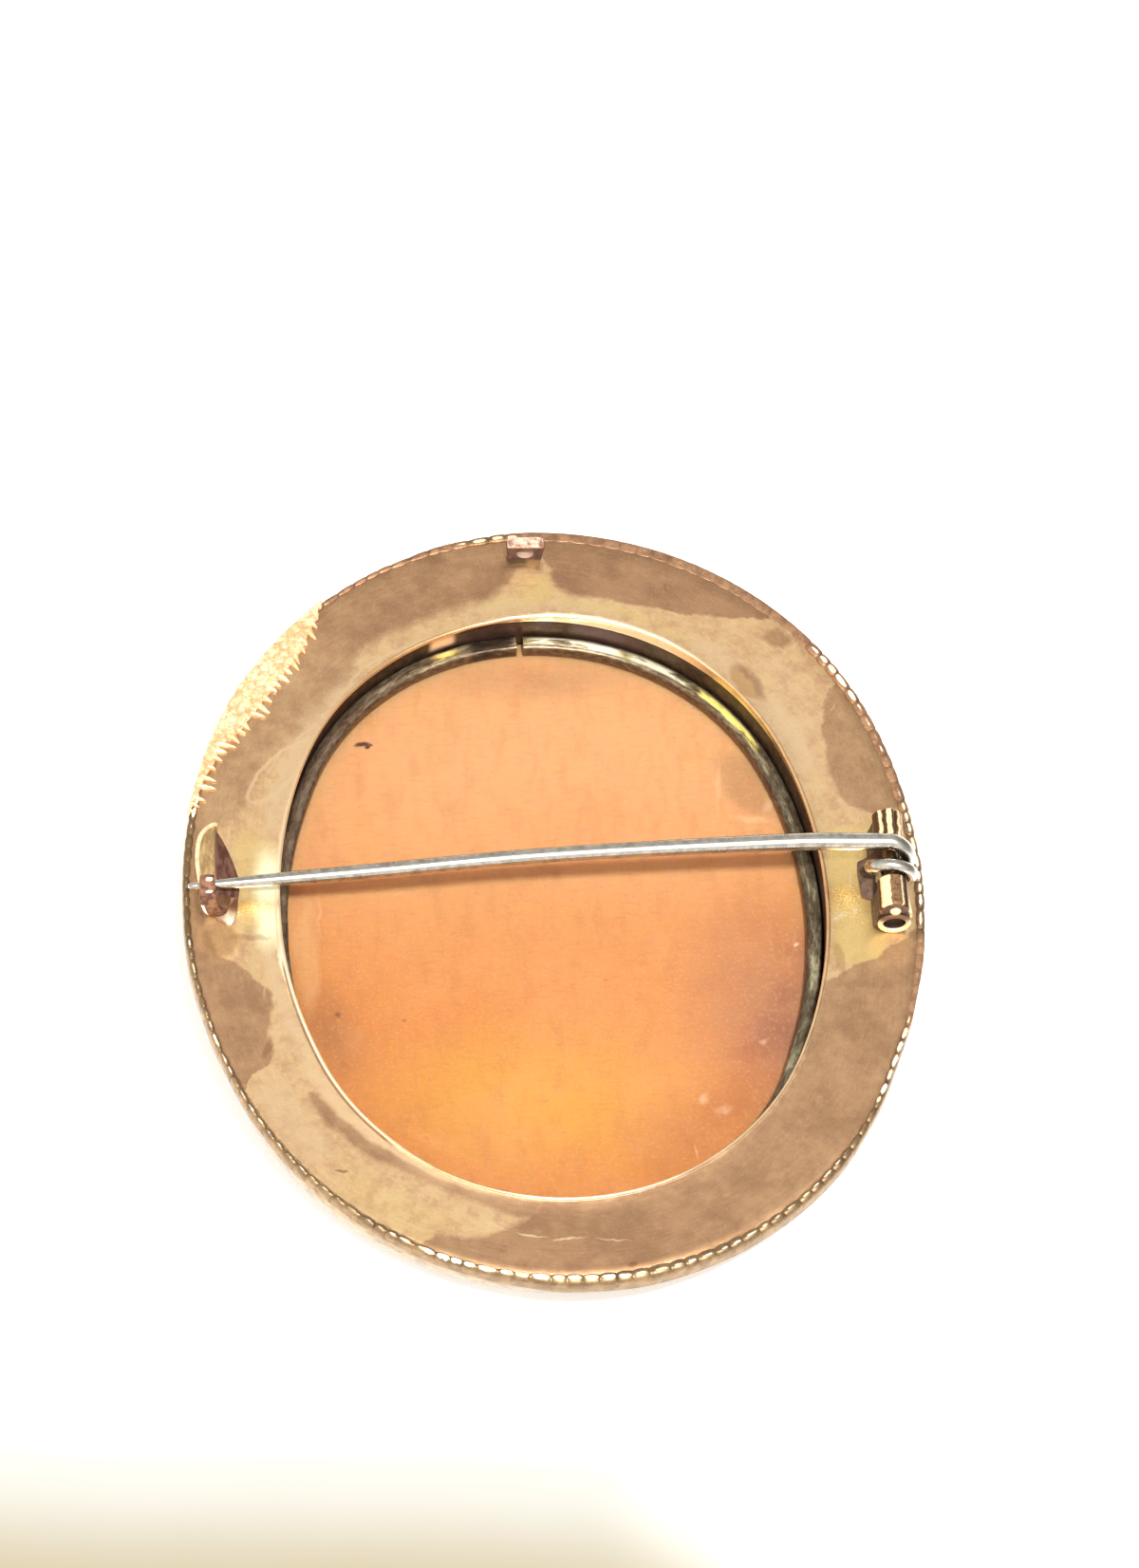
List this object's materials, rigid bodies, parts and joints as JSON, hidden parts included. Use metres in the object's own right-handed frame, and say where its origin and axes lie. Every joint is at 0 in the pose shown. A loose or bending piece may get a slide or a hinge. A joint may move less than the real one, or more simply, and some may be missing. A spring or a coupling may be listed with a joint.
{
  "type": "cameo brooch",
  "caption": "Oval brooch with a carved shell held in a hollow gold border, a flat back plate, and a hinged pin stem with an open hook catch.",
  "frame": {"origin": "middle of the flat crest that the brooch rests on, under the oval's centre", "axes": "+X from the catch to the hinge, +Y along the long axis towards the lug, +Z out of the back"},
  "size_m": [0.0416, 0.0486, 0.0085],
  "materials": {
    "border_gold": "worn gold, bright on the milled edge",
    "plate_gold": "matte gold with pinkish brown tarnish",
    "shell": "satin carved shell",
    "ring_metal": "tarnished grey wire",
    "pin_steel": "polished steel wire",
    "rivet_metal": "dark brass"
  },
  "bodies": {
    "brooch": {"front_border": "border_gold", "back_plate": "plate_gold", "cameo": "shell", "retaining_ring": "ring_metal", "hinge_rivet": "rivet_metal"},
    "pin": {"pin": "pin_steel"}
  },
  "joints": [
    {"name": "pin_hinge", "type": "hinge", "parent": "brooch", "child": "pin", "pos_m": [0.019, 0.0011, 0.0071], "axis": [0, 1, 0], "range_deg": [0, 110]}
  ]
}
